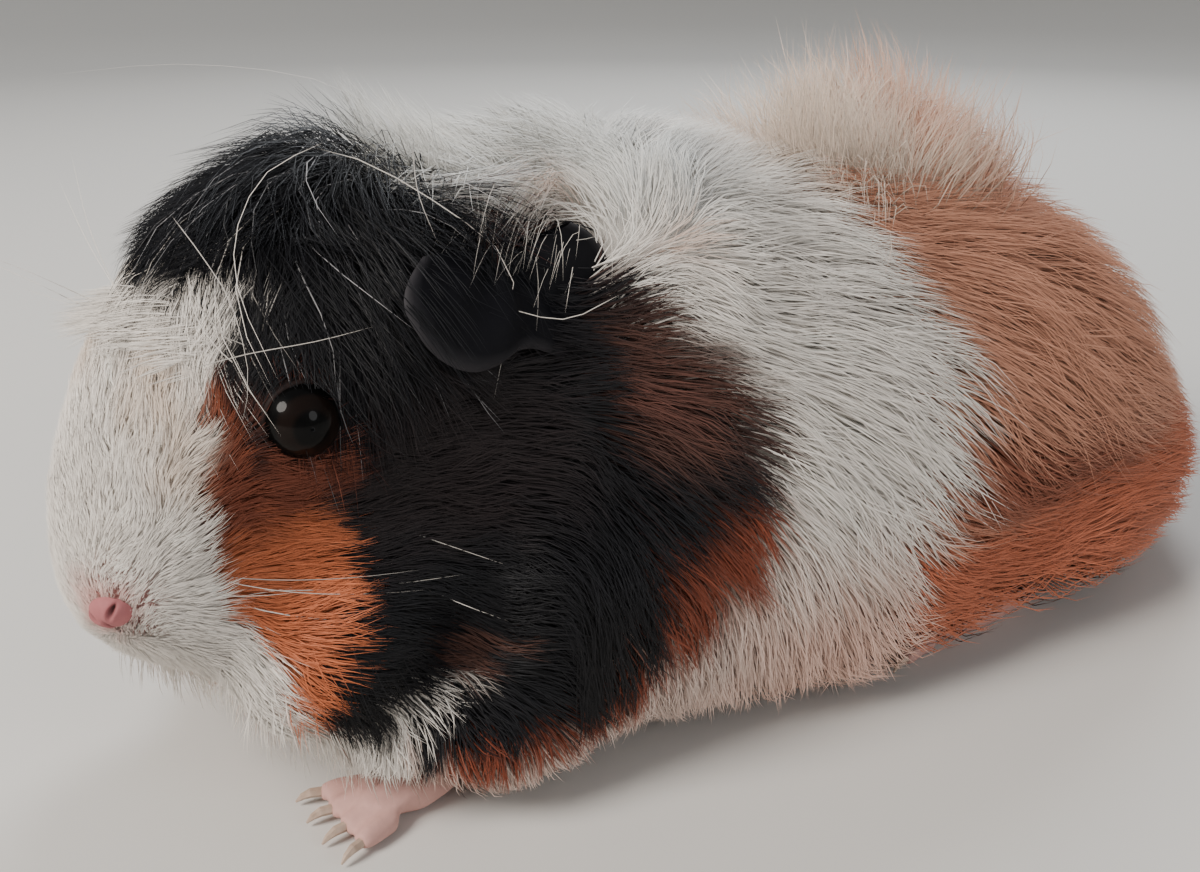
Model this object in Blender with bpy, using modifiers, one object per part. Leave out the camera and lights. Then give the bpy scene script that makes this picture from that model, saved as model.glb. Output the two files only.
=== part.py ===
"""Guinea pig, life size, crouching with its head low and turned a little to its left.

The solids are the outer envelope of the coat, out to its tips. The animal faces -Y, its left side is +X
and the floor is z = 0. Sizes are millimetres until a mesh is made, and metres from then on.

The body is one surface, welded from named masses. Regions with a thin gap between them part it into
forelock, head, neck, trunk, rump, tuft and four legs. Paws, claws, ears, eyes and nose are objects of
their own, set in pockets.
"""

import math

import bmesh
import bpy
from mathutils import Matrix, Vector

MM = 0.001
CUT_GAP = 0.3  # between neighbouring solids
LEVEL = Matrix.Identity(4)

# Head: designed level with the nose at its own origin, then pitched, turned and set in place.
NOSE_PLACE = (9.6, -124.0, 34.0)
HEAD_PITCH = 40.0  # degrees, nose down
HEAD_YAW = 14.0  # degrees, towards the animal's left
HEAD_PLACING = (
    Matrix.Translation(NOSE_PLACE)
    @ Matrix.Rotation(math.radians(HEAD_YAW), 4, "Z")
    @ Matrix.Rotation(math.radians(HEAD_PITCH), 4, "X")
)
EYE_PLACE = (18.2, 31.0, 7.4)  # left eye in the head's frame; the right one mirrors it
EYE_RADIUS = 5.0
MUZZLE_TURN = 18.0  # degrees that the muzzle bends to the animal's left
MUZZLE_PIVOT = (0.0, 10.0)
MUZZLE_TIP, MUZZLE_ROOT = 0.0, 24.0  # where the bend is full, and where it starts
NOSE_CENTRE = (1.8, -0.5, 3.2)  # before the bend
NOSE_RADII = (3.8, 2.6, 3.0)

# A station of a loft: y, top, bottom, half width, height of the widest level, fullness above and below it.
# A fullness of 2 is an ellipse and more is boxier.
TRUNK_STATIONS = [
    (-99, 56, 12, 14, 34, 2.0, 2.0),
    (-92, 76, 5, 25, 31, 2.0, 2.6),
    (-78, 88, 1.4, 34, 29, 1.9, 3.4),
    (-58, 94, 1.0, 42, 28, 1.8, 5.0),
    (-34, 91, 1.0, 49, 27, 2.0, 6.5),
    (-10, 85, 1.0, 53, 26, 2.1, 7.5),
    (15, 83, 1.0, 54, 25, 2.2, 7.5),
    (38, 79, 1.0, 51.5, 24, 2.2, 6.5),
    (58, 71, 1.0, 45.5, 23, 2.2, 5.0),
    (75, 61, 1.0, 37, 21, 2.1, 4.0),
    (88, 51, 1.2, 27, 18, 2.1, 3.2),
    (97, 38, 2.0, 16, 15, 2.0, 2.4),
    (103, 22, 5.0, 6, 12, 2.0, 2.0),
]
HEAD_STATIONS = [
    (-3.2, 2.5, -12, 7.5, -5.5, 2.0, 2.2),
    (-1.6, 6, -15.5, 10.8, -6.5, 2.0, 2.2),
    (1, 9, -18.5, 13.4, -7, 2.0, 2.4),
    (6, 13, -22, 16.4, -8, 2.1, 2.4),
    (15, 18.5, -25, 19, -9, 2.3, 2.4),
    (25, 23, -27, 21.5, -9, 2.3, 2.3),
    (36, 26, -28, 24, -9, 2.2, 2.3),
    (49, 27, -28, 26.5, -9, 2.1, 2.3),
    (63, 25.5, -28, 27, -7, 2.1, 2.2),
    (76, 20, -24, 25, -3, 2.0, 2.0),
]

# Ellipsoid masses welded to the lofts: centre, radii, turn about X and Z in degrees.
# Those of a pair are the left one, and the right one mirrors it.
BODY_MASSES = [
    ((0, -68, 69), (24, 28, 26), 0, 0),  # mane over the shoulders
    ((-3, 30, 76), (16, 30, 13.5), -6, 0),  # tuft over the hips
]
BODY_PAIRS = [
    ((32, -60, 28), (15, 24, 24), 0, 0),  # shoulder
    ((29, -76, 13), (15, 20, 12.3), 0, 0),  # elbow
    ((25, -87, 12.5), (12, 15, 11.8), 0, 0),  # forearm
    ((40, 42, 18.5), (16, 42, 16.5), 8, 14),  # thigh, sweeping back
]
JOWL = ((16, 17, -19), (15, 21, 12), 0, 0)
WHISKER_PAD = ((7, 6.5, -9), (10, 9, 10), 0, 0)
TUFT_WISP = [(-2, 20, 82), (-3, 19, 90), (-5, 15, 96), (-7, 8, 101)]
TUFT_WISP_RADII = [12, 8, 4.5, 1.0]
WELD_VOXEL = 2.2
WELD_SMOOTHING = 8
ENVELOPE_DETAIL = 0.1  # share of the welded triangles that is kept
CUT_DETAIL = 0.56  # share kept once the body is parted
REGION_SEGMENTS = 20  # round the balls that part the envelope

# Ears: a fan about a root in the head's frame, hanging beside the cheek. Each row of the rim is an angle,
# with 0 straight back and 90 straight down, then how far out the rim lies and how far it stands off the
# root sideways.
EAR_ROOT = (24.0, 63.0, 2.0)
EAR_BACK = (0.0, 0.766, -0.643)
EAR_DOWN = (0.0, -0.643, -0.766)
EAR_RIM = [
    (-15, 11, 4),
    (10, 15, 6),
    (35, 18, 7.2),
    (58, 19, 7.5),
    (76, 14.5, 7.5),
    (94, 12, 7),
    (112, 14, 7),
    (129, 16.5, 6.5),
    (150, 17, 3.5),
    (168, 16.8, 1),
    (188, 12, 0),
]
EAR_SPAN = (0.2, 1.0)  # where the flap starts and ends, as shares of the rim's distance
EAR_THICKNESS = 1.6
EAR_POCKET_SPAN = (0.14, 1.05)
EAR_POCKET_FAN = 1.06  # how much wider the pocket fans out than the ear
EAR_POCKET_GAP = 0.6
EAR_POCKET_VOXEL = 0.7
EAR_POCKET_DETAIL = 0.06

# Paws: a palm or sole, and toes that fan out from its front end. Left ones, which the right ones mirror.
# The room is the pocket in the coat that the paw sits in.
PAWS = {
    "front": {
        "palm": (25.5, -91, 3.6),
        "radii": (5.2, 8.5, 4.4),
        "toe_start": 5.0,
        "toe_length": 7.5,
        "spread": (-20, -7, 7, 20),
        "room": ((17, -111, -1), (34, -82, 8.5)),
    },
    "hind": {
        "palm": (38, 14, 3.4),
        "radii": (5.6, 18, 4.2),
        "toe_start": 14.0,
        "toe_length": 9.0,
        "spread": (-12, 0, 12),
        "room": ((31, -17, -1), (45, 33, 8.2)),
    },
}
TOE_RADIUS = 1.75
TOE_HEIGHT = 1.6
TOE_PITCH = 2.9  # between the roots of neighbouring toes
PAW_VOXEL = 0.7
PAW_SMOOTHING = 3
PAW_DETAIL = 0.035
CLAW_STEPS = [(-1.4, 0.2, 0.75), (0.4, 0.3, 0.7), (1.6, -0.1, 0.48), (2.5, -0.8, 0.15)]  # ahead, up, radius

COLOURS = {
    "white": (0.80, 0.76, 0.70),
    "orange": (0.62, 0.33, 0.17),
    "cream": (0.72, 0.52, 0.36),
    "brown": (0.16, 0.08, 0.05),
    "black": (0.025, 0.022, 0.025),
    "pink": (0.66, 0.40, 0.37),
    "horn": (0.55, 0.42, 0.35),
    "eye": (0.008, 0.006, 0.008),
}
ROUGHNESS = {"eye": 0.05, "horn": 0.4, "pink": 0.55}
FUR_ROUGHNESS = 0.85


# --- helpers --------------------------------------------------------------------------------------


def material(colour):
    """The material of that name, made once."""
    found = bpy.data.materials.get(colour)
    if found:
        return found
    made = bpy.data.materials.new(colour)
    made.use_nodes = True
    shader = made.node_tree.nodes["Principled BSDF"]
    shader.inputs["Base Color"].default_value = (*COLOURS[colour], 1.0)
    shader.inputs["Roughness"].default_value = ROUGHNESS.get(colour, FUR_ROUGHNESS)
    made.diffuse_color = (*COLOURS[colour], 1.0)
    return made


def new_object(name, bm, collection, colour=None):
    """A smooth mesh object in metres from a bmesh in millimetres."""
    bmesh.ops.recalc_face_normals(bm, faces=bm.faces)
    bmesh.ops.scale(bm, vec=(MM, MM, MM), verts=bm.verts)
    mesh = bpy.data.meshes.new(name)
    bm.to_mesh(mesh)
    bm.free()
    return object_of(name, mesh, collection, colour)


def object_of(name, mesh, collection, colour=None):
    obj = bpy.data.objects.new(name, mesh)
    mesh.shade_smooth()
    if colour:
        mesh.materials.clear()
        mesh.materials.append(material(colour))
    collection.objects.link(obj)
    return obj


def new_cutter(name, bm, collection):
    cutter = new_object(name, bm, collection)
    cutter.hide_render = True
    cutter.display_type = "WIRE"
    return cutter


def evaluated_mesh(obj):
    """The object's mesh with its modifiers applied."""
    bpy.context.view_layer.update()
    depsgraph = bpy.context.evaluated_depsgraph_get()
    return bpy.data.meshes.new_from_object(obj.evaluated_get(depsgraph))


def weld(obj, voxel, smoothing, detail):
    """Join an object's shapes into one skin, rounded off and thinned."""
    join = obj.modifiers.new("weld", "REMESH")
    join.mode = "VOXEL"
    join.voxel_size = voxel * MM
    blend = obj.modifiers.new("blend", "SMOOTH")
    blend.iterations = smoothing
    thin = obj.modifiers.new("thin", "DECIMATE")
    thin.ratio = detail


def boolean(obj, cutter, operation):
    cut = obj.modifiers.new(operation.lower() + "_" + cutter.name, "BOOLEAN")
    cut.operation = operation
    cut.object = cutter


def mirrored(point, side):
    """The point for the left side, or its mirror image for the right."""
    return Vector((point[0] * side, point[1], point[2]))


def side_name(side):
    return "left" if side > 0 else "right"


def catmull_rom(rows, steps):
    """The rows with smooth steps put between each two of them."""
    smooth_rows = []
    last = len(rows) - 1
    for i in range(last):
        neighbours = rows[max(i - 1, 0)], rows[i], rows[i + 1], rows[min(i + 2, last)]
        for k in range(steps):
            t = k / steps
            smooth_rows.append(
                [
                    b + 0.5 * t * (c - a + t * (2 * a - 5 * b + 4 * c - d + t * (3 * (b - c) + d - a)))
                    for a, b, c, d in zip(*neighbours)
                ]
            )
    smooth_rows.append(list(rows[last]))
    return smooth_rows


def add_rings(bm, rings):
    """Skin a list of rings of points, with a flat face at each end."""
    made = [[bm.verts.new(point) for point in ring] for ring in rings]
    for ring, following in zip(made, made[1:]):
        for i, point in enumerate(ring):
            j = (i + 1) % len(ring)
            bm.faces.new((point, ring[j], following[j], following[i]))
    bm.faces.new(made[0][::-1])
    bm.faces.new(made[-1])


def section(station, points):
    """One ring of a loft: a superellipse with unlike upper and lower halves."""
    y, top, bottom, half_width, widest, above, below = station
    ring = []
    for i in range(points):
        angle = 2 * math.pi * i / points
        across, up = math.cos(angle), math.sin(angle)
        fullness, reach = (above, top - widest) if up >= 0 else (below, widest - bottom)
        x = half_width * math.copysign(abs(across) ** (2 / fullness), across)
        z = widest + reach * math.copysign(abs(up) ** (2 / fullness), up)
        ring.append(Vector((x, y, z)))
    return ring


def add_loft(bm, stations, placing, steps=3, points=48):
    add_rings(bm, [[placing @ p for p in section(s, points)] for s in catmull_rom(stations, steps)])


def add_tube(bm, path, radii, points=10):
    """A round tube along a path, with a radius at each of its points."""
    path = [Vector(p) for p in path]
    rings = []
    for i, (centre, radius) in enumerate(zip(path, radii)):
        along = (path[min(i + 1, len(path) - 1)] - path[max(i - 1, 0)]).normalized()
        turn = along.to_track_quat("Y", "Z").to_matrix()
        angles = [2 * math.pi * k / points for k in range(points)]
        rings.append([centre + turn @ Vector((math.cos(a), 0, math.sin(a))) * radius for a in angles])
    add_rings(bm, rings)


def add_ellipsoid(bm, centre, radii, placing=LEVEL, segments=24):
    shape = placing @ Matrix.Translation(centre) @ Matrix.Diagonal((*radii, 1.0))
    bmesh.ops.create_uvsphere(bm, u_segments=segments, v_segments=segments // 2, radius=1.0, matrix=shape)


def add_box(bm, low, high, placing=LEVEL):
    low, high = Vector(low), Vector(high)
    shape = Matrix.Translation((low + high) / 2) @ Matrix.Diagonal((*(high - low), 1.0))
    bmesh.ops.create_cube(bm, size=1.0, matrix=placing @ shape)


# --- the whole envelope ---------------------------------------------------------------------------


def add_mass(bm, mass, placing, side=1):
    """An ellipsoid turned about X, then about Z, at its centre."""
    centre, radii, about_x, about_z = mass
    turn = Matrix.Rotation(math.radians(about_z * side), 4, "Z")
    tilt = Matrix.Rotation(math.radians(about_x), 4, "X")
    add_ellipsoid(bm, (0, 0, 0), radii, placing @ Matrix.Translation(mirrored(centre, side)) @ turn @ tilt)


def bent(point):
    """A point of the head's frame, once the muzzle is bent."""
    share = min(max((MUZZLE_ROOT - point[1]) / (MUZZLE_ROOT - MUZZLE_TIP), 0.0), 1.0)
    turn = math.radians(MUZZLE_TURN) * share * share * (3 - 2 * share)
    across, along = point[0] - MUZZLE_PIVOT[0], point[1] - MUZZLE_PIVOT[1]
    x = MUZZLE_PIVOT[0] + across * math.cos(turn) - along * math.sin(turn)
    y = MUZZLE_PIVOT[1] + across * math.sin(turn) + along * math.cos(turn)
    return Vector((x, y, point[2]))


def add_head(bm):
    """The head, in a mesh that holds nothing else yet."""
    add_loft(bm, HEAD_STATIONS, LEVEL)
    for side in (1, -1):
        add_mass(bm, WHISKER_PAD, LEVEL, side)
    for vert in bm.verts:
        vert.co = HEAD_PLACING @ bent(vert.co)
    for side in (1, -1):
        add_mass(bm, JOWL, HEAD_PLACING, side)


def envelope_mesh(collection):
    """The whole body, welded, smoothed and thinned to a few thousand triangles."""
    bm = bmesh.new()
    add_head(bm)
    add_loft(bm, TRUNK_STATIONS, LEVEL)
    add_tube(bm, TUFT_WISP, TUFT_WISP_RADII)
    for mass in BODY_MASSES:
        add_mass(bm, mass, LEVEL)
    for side in (1, -1):
        for mass in BODY_PAIRS:
            add_mass(bm, mass, LEVEL, side)
    body = new_object("envelope", bm, collection)
    weld(body, WELD_VOXEL, WELD_SMOOTHING, ENVELOPE_DETAIL)
    mesh = evaluated_mesh(body)
    bpy.data.objects.remove(body)
    return mesh


# --- regions that part the envelope ---------------------------------------------------------------


def grown_box(low, high, placing):
    """A maker of that box, larger by a margin all round."""

    def make(bm, margin):
        around = Vector((margin,) * 3)
        add_box(bm, Vector(low) - around, Vector(high) + around, placing)

    return make


def grown_ball(centre, radii, placing, about_z=0):
    """A maker of that ellipsoid, larger by a margin all round."""

    def make(bm, margin):
        turned = placing @ Matrix.Translation(centre) @ Matrix.Rotation(math.radians(about_z), 4, "Z")
        add_ellipsoid(bm, (0, 0, 0), [r + margin for r in radii], turned, REGION_SEGMENTS)

    return make


def regions():
    """Each part of the body, with its shape and colour. An earlier one takes what two of them share."""
    named = [("forelock", grown_ball((0, 44, 36), (36, 34, 19), HEAD_PLACING), "black")]
    named.append(("head", grown_ball((0, 14, 4), (60, 62, 36), HEAD_PLACING), "black"))
    for side in (1, -1):
        front = grown_ball(mirrored((27, -82, 6), side), (17, 27, 26), LEVEL)
        named.append(("leg_front_" + side_name(side), front, "white"))
    named.append(("neck", grown_ball((0, 14, 4), (74, 78, 53), HEAD_PLACING), "brown"))
    for side in (1, -1):
        hind = grown_ball(mirrored((45, 38, 16), side), (24, 40, 28), LEVEL, 14 * side)
        named.append(("leg_hind_" + side_name(side), hind, "orange"))
    named.append(("hip_tuft", grown_ball((-3, 28, 88), (24, 38, 19), LEVEL), "cream"))
    named.append(("rump", grown_box((-80, 60, -20), (80, 140, 120), LEVEL), "orange"))
    return named


def part_the_body(mesh, parts, cutters):
    """One object for each region of the envelope, and the trunk for what is left."""
    made = {}
    earlier = []
    for name, make, colour in regions():
        part = object_of(name, mesh.copy(), parts, colour)
        bm = bmesh.new()
        make(bm, 0.0)
        boolean(part, new_cutter("region_" + name, bm, cutters), "INTERSECT")
        for room in earlier:
            boolean(part, room, "DIFFERENCE")
        bm = bmesh.new()
        make(bm, CUT_GAP)
        earlier.append(new_cutter("room_" + name, bm, cutters))
        made[name] = part
    trunk = object_of("trunk", mesh, parts, "white")
    for room in earlier:
        boolean(trunk, room, "DIFFERENCE")
    made["trunk"] = trunk
    return made


# --- head pieces ----------------------------------------------------------------------------------


def add_plug(name, make, colour, host, parts, cutters):
    """A piece of its own and, a gap larger, the pocket it sits in. make(bm, margin) adds its shape."""
    bm = bmesh.new()
    make(bm, 0.0)
    new_object(name, bm, parts, colour)
    bm = bmesh.new()
    make(bm, CUT_GAP)
    boolean(host, new_cutter("pocket_" + name, bm, cutters), "DIFFERENCE")


def plug_ball(centre, radii, segments):
    def make(bm, margin):
        add_ellipsoid(bm, centre, [r + margin for r in radii], HEAD_PLACING, segments)

    return make


def add_eyes_and_nose(head, parts, cutters):
    for side in (1, -1):
        ball = plug_ball(mirrored(EYE_PLACE, side), (EYE_RADIUS,) * 3, 18)
        add_plug("eye_" + side_name(side), ball, "eye", head, parts, cutters)
    add_plug("nose", plug_ball(bent(NOSE_CENTRE), NOSE_RADII, 14), "pink", head, parts, cutters)


def ear_sheet(side, span, fan=1.0, rows=3):
    """The middle surface of an ear, open: a fan from its root to a waved rim."""
    bm = bmesh.new()
    root, back, down = (mirrored(v, side) for v in (EAR_ROOT, EAR_BACK, EAR_DOWN))
    middle = (EAR_RIM[0][0] + EAR_RIM[-1][0]) / 2
    grid = []
    for row in range(rows + 1):
        share = span[0] + (span[1] - span[0]) * row / rows
        ring = []
        for angle, radius, off in catmull_rom(EAR_RIM, 2):
            turn = math.radians(middle + (angle - middle) * fan)
            flat = (back * math.cos(turn) + down * math.sin(turn)) * radius * share
            aside = Vector((side * off * math.sin(math.pi / 2 * min(share, 1.0)), 0, 0))
            ring.append(bm.verts.new(HEAD_PLACING @ (root + flat + aside)))
        grid.append(ring)
    for ring, following in zip(grid, grid[1:]):
        for i in range(len(ring) - 1):
            bm.faces.new((ring[i], ring[i + 1], following[i + 1], following[i]))
    return bm


def thicken(obj, thickness):
    shell = obj.modifiers.new("thickness", "SOLIDIFY")
    shell.thickness = thickness * MM
    shell.offset = 0.0


def add_ears(body, parts, cutters):
    """The ears, and a pocket for each in the parts of the body that its root and lower edge reach."""
    for side in (1, -1):
        name = "ear_" + side_name(side)
        thicken(new_object(name, ear_sheet(side, EAR_SPAN), parts, "brown"), EAR_THICKNESS)
        pocket_sheet = ear_sheet(side, EAR_POCKET_SPAN, EAR_POCKET_FAN)
        pocket = new_cutter("pocket_" + name, pocket_sheet, cutters)
        thicken(pocket, EAR_THICKNESS + 2 * EAR_POCKET_GAP)
        weld(pocket, EAR_POCKET_VOXEL, 0, EAR_POCKET_DETAIL)
        for host in ("head", "neck"):
            boolean(body[host], pocket, "DIFFERENCE")


# --- paws and claws -------------------------------------------------------------------------------


def toe_lines(paw, side):
    """Start, direction and tip of each toe."""
    lines = []
    palm = mirrored(paw["palm"], side)
    middle = (len(paw["spread"]) - 1) / 2
    for i, angle in enumerate(paw["spread"]):
        turn = math.radians(angle)
        along = Vector((side * math.sin(turn), -math.cos(turn), 0))
        start = Vector((palm.x + side * (i - middle) * TOE_PITCH, palm.y - paw["toe_start"], TOE_HEIGHT))
        lines.append((start, along, start + along * paw["toe_length"]))
    return lines


def claw_points(tip, along, margin=0.0):
    path = [tip + along * ahead + Vector((0, 0, up)) for ahead, up, _ in CLAW_STEPS]
    return path, [radius + margin for _, _, radius in CLAW_STEPS]


def add_paw(kind, side, parts, cutters, floor):
    """A paw with its claws set in its toes, cut off flat at the floor."""
    paw = PAWS[kind]
    name = kind + "_" + side_name(side)
    bm = bmesh.new()
    add_ellipsoid(bm, mirrored(paw["palm"], side), paw["radii"])
    for start, along, tip in toe_lines(paw, side):
        middle = (start + tip) / 2 + Vector((0, 0, 0.5))
        add_tube(bm, [start, middle, tip], [TOE_RADIUS * 1.1, TOE_RADIUS, TOE_RADIUS * 0.85])
    foot = new_object("paw_" + name, bm, parts, "pink")
    weld(foot, PAW_VOXEL, PAW_SMOOTHING, PAW_DETAIL)
    boolean(foot, floor, "DIFFERENCE")
    for number, (start, along, tip) in enumerate(toe_lines(paw, side), 1):

        def claw(bm, margin, tip=tip, along=along):
            add_tube(bm, *claw_points(tip, along, margin), points=6)

        add_plug("claw_%s_%d" % (name, number), claw, "horn", foot, parts, cutters)


def add_paws(body, parts, cutters):
    bm = bmesh.new()
    add_box(bm, (-100, -150, -20), (100, 150, 0))
    floor = new_cutter("floor", bm, cutters)
    hosts = {"front": ("leg_front_", "neck"), "hind": ("leg_hind_", "trunk")}
    for kind, paw in PAWS.items():
        for side in (1, -1):
            add_paw(kind, side, parts, cutters, floor)
            bm = bmesh.new()
            corners = [mirrored(corner, side) for corner in paw["room"]]
            low, high = (Vector(map(pick, *corners)) for pick in (min, max))
            add_box(bm, low, high)
            room = new_cutter("room_paw_" + kind + side_name(side), bm, cutters)
            for host in hosts[kind]:
                boolean(body[host + side_name(side) if host.endswith("_") else host], room, "DIFFERENCE")


def stand_on_origin(parts, cutters):
    """Hang everything on an empty that puts the bottom centre of the animal's box at the origin."""
    bpy.context.view_layer.update()
    depsgraph = bpy.context.evaluated_depsgraph_get()
    corners = [Vector(c) for obj in parts.objects for c in obj.evaluated_get(depsgraph).bound_box]
    low, high = (Vector(map(pick, *corners)) for pick in (min, max))
    stand = bpy.data.objects.new("guinea_pig_origin", None)
    for obj in list(parts.objects) + list(cutters.objects):
        obj.parent = stand
    parts.objects.link(stand)
    stand.location = (-(low.x + high.x) / 2, -(low.y + high.y) / 2, -low.z)


def main():
    for old in list(bpy.data.objects):
        bpy.data.objects.remove(old)
    parts = bpy.data.collections.new("guinea_pig")
    cutters = bpy.data.collections.new("cutters")
    for collection in (parts, cutters):
        bpy.context.scene.collection.children.link(collection)
    body = part_the_body(envelope_mesh(parts), parts, cutters)
    add_eyes_and_nose(body["head"], parts, cutters)
    add_ears(body, parts, cutters)
    add_paws(body, parts, cutters)
    for part in body.values():
        part.modifiers.new("tidy_cuts", "DECIMATE").ratio = CUT_DETAIL
    stand_on_origin(parts, cutters)


main()
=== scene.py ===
import math

import bpy
import numpy as np
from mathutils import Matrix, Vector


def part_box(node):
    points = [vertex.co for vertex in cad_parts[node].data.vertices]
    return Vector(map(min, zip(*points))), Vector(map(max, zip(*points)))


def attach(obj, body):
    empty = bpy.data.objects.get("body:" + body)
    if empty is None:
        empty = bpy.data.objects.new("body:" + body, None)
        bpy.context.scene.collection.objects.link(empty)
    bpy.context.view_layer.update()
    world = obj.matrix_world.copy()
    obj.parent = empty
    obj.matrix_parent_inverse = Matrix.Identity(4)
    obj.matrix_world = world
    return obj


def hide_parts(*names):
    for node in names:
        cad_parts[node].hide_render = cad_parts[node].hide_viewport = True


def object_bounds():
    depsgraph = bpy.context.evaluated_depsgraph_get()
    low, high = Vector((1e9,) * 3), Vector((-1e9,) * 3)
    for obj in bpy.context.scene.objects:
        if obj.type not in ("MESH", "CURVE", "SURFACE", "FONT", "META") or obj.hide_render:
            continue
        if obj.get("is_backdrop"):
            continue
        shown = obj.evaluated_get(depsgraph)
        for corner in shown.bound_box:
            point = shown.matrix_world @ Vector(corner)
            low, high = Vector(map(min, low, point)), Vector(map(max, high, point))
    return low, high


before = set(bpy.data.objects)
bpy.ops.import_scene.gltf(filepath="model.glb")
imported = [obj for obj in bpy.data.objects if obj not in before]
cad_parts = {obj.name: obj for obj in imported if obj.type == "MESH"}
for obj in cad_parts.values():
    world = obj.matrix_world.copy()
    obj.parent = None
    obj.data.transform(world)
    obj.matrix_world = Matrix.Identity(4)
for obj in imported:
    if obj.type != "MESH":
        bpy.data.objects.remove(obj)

import openvdb
from mathutils import Matrix, Vector, kdtree

# Looks of the guinea pig. Lengths are millimetres in the body frame: the head faces -Y, the animal's left
# is +X and the floor is z = 0. The head has a frame of its own, at the nose: +Y runs back along the head and
# +Z out of its brow.

CAD_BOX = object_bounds()
RANDOM = np.random.default_rng(7)

HEAD = np.array(
    Matrix.Translation((9.6, -124.0, 34.0))
    @ Matrix.Rotation(math.radians(14), 4, "Z")
    @ Matrix.Rotation(math.radians(40), 4, "X")
)
EYE_PLACE = (18.2, 31.0, 7.4)
EYE_RADIUS = 5.0
MUZZLE_TURN = math.radians(18)  # the muzzle bends this far to the animal's left
MUZZLE_PIVOT = np.array((0.0, 10.0))


def on_head(points, turn_only=False):
    """Points or directions of the head's frame, in the body frame."""
    turned = np.asarray(points, float) @ HEAD[:3, :3].T
    return turned if turn_only else turned + HEAD[:3, 3]


def to_head(points):
    """Points of the body frame, in the head's frame."""
    return (np.asarray(points, float) - HEAD[:3, 3]) @ HEAD[:3, :3]


def bent(points, turn_only=False):
    """Points or directions at the tip of the muzzle, in the head's frame, once the muzzle is bent."""
    points = np.array(points, float)
    cos, sin = math.cos(MUZZLE_TURN), math.sin(MUZZLE_TURN)
    turn = np.array(((cos, -sin), (sin, cos)))
    pivot = np.zeros(2) if turn_only else MUZZLE_PIVOT
    points[..., :2] = (points[..., :2] - pivot) @ turn.T + pivot
    return points


eye_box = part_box("eye_left")
SHIFT = (np.array(eye_box[0]) + np.array(eye_box[1])) * 500 - on_head(EYE_PLACE)


def metres(points):
    """Points of the body frame, in the row frame and in metres."""
    return (np.asarray(points) + SHIFT) / 1000


def unit(vectors):
    """The same directions, 1 long."""
    size = np.linalg.norm(vectors, axis=-1, keepdims=True)
    return vectors / np.maximum(size, 1e-9)


def ease(low, high, value):
    """Rises smoothly from 0 at `low` to 1 at `high`."""
    t = np.clip((value - low) / (high - low), 0, 1)
    return t * t * (3 - 2 * t)


def waves(points, size, seed, count=7):
    """Soft noise from -1 to 1: a sum of plane waves about `size` long."""
    pick = np.random.default_rng(seed)
    total = np.zeros(len(points))
    for _ in range(count):
        across = unit(pick.normal(size=3)) * (2 * math.pi / size) * pick.uniform(0.6, 1.5)
        total += np.sin(points @ across + pick.uniform(0, 6.3))
    return total / math.sqrt(count) * 0.8


# Volumes: the coat field is the distance from the coat's outer surface, and the skin field from the skin.
LOW = np.array((-72.0, -142.0, -10.0))
VOXEL = 1.0
SHAPE = (144, 266, 122)
CLOSING = 1.6  # fills the cuts between the solids, and the pockets of the ears
BAND = 42  # voxels to each side of the coat's surface where the coat field is right


def level_set(points, band, low=LOW, voxel=VOXEL, **faces):
    """The signed distance from a closed mesh, as a grid that starts at `low`."""
    made = openvdb.FloatGrid.createLevelSetFromPolygons
    return made(points - low, transform=openvdb.createLinearTransform(voxel), halfWidth=band, **faces)


def surface(volume, low=LOW, voxel=VOXEL):
    """The points and outward quads where a volume crosses zero."""
    grid = openvdb.FloatGrid()
    grid.copyFromArray(volume)
    grid.transform = openvdb.createLinearTransform(voxel)
    points, _, quads = grid.convertToPolygons(0.0, 0.0)
    return points + low, quads.astype(int)[:, ::-1]


def halves(quads):
    """Two triangles for each quad."""
    return np.concatenate((quads[:, :3], quads[:, [0, 2, 3]]))


def node_triangles(name):
    """A CAD node's points in the body frame, and its triangles."""
    mesh = bpy.data.objects[name].data
    mesh.calc_loop_triangles()
    place = np.zeros(len(mesh.vertices) * 3)
    mesh.vertices.foreach_get("co", place)
    corners = np.zeros(len(mesh.loop_triangles) * 3, int)
    mesh.loop_triangles.foreach_get("vertices", corners)
    return place.reshape(-1, 3) * 1000 - SHIFT, corners.reshape(-1, 3)


def joined(parts):
    """Several parts, each of points and triangles first, as one mesh."""
    starts = np.cumsum([0, *(len(part[0]) for part in parts)])
    triangles = np.concatenate([part[1] + start for part, start in zip(parts, starts)])
    return np.concatenate([part[0] for part in parts]), triangles


def coat_volume(names):
    """The signed distance from the outside of these CAD nodes, taken as one closed body."""
    points, triangles = joined([node_triangles(name) for name in names])
    first = level_set(points, 3, triangles=triangles)
    points, triangles, quads = first.convertToPolygons(CLOSING, 0.0)
    second = level_set(points + LOW, BAND, triangles=triangles, quads=quads)
    volume = np.zeros(SHAPE, np.float32)
    second.copyToArray(volume)
    return volume + CLOSING


def sample(volume, points):
    """Trilinear values of a volume at points of the body frame."""
    local = np.clip((points - LOW) / VOXEL, 0, np.array(SHAPE) - 1.001)
    base = local.astype(int)
    part = (local - base).astype(np.float32)
    total = 0
    for corner in range(8):
        step = np.array((corner & 1, corner >> 1 & 1, corner >> 2 & 1))
        share = np.prod(np.where(step, part, 1 - part), axis=1)
        x, y, z = (base + step).T
        value = volume[x, y, z]
        total = total + (value * share[:, None] if value.ndim == 2 else value * share)
    return total


def blur(volume, rounds):
    """Evens a volume out along each axis in turn."""
    for _ in range(rounds):
        for axis in range(3):
            ahead, behind = np.roll(volume, 1, axis), np.roll(volume, -1, axis)
            volume = (ahead + behind + 2 * volume) / 4
    return volume


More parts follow.
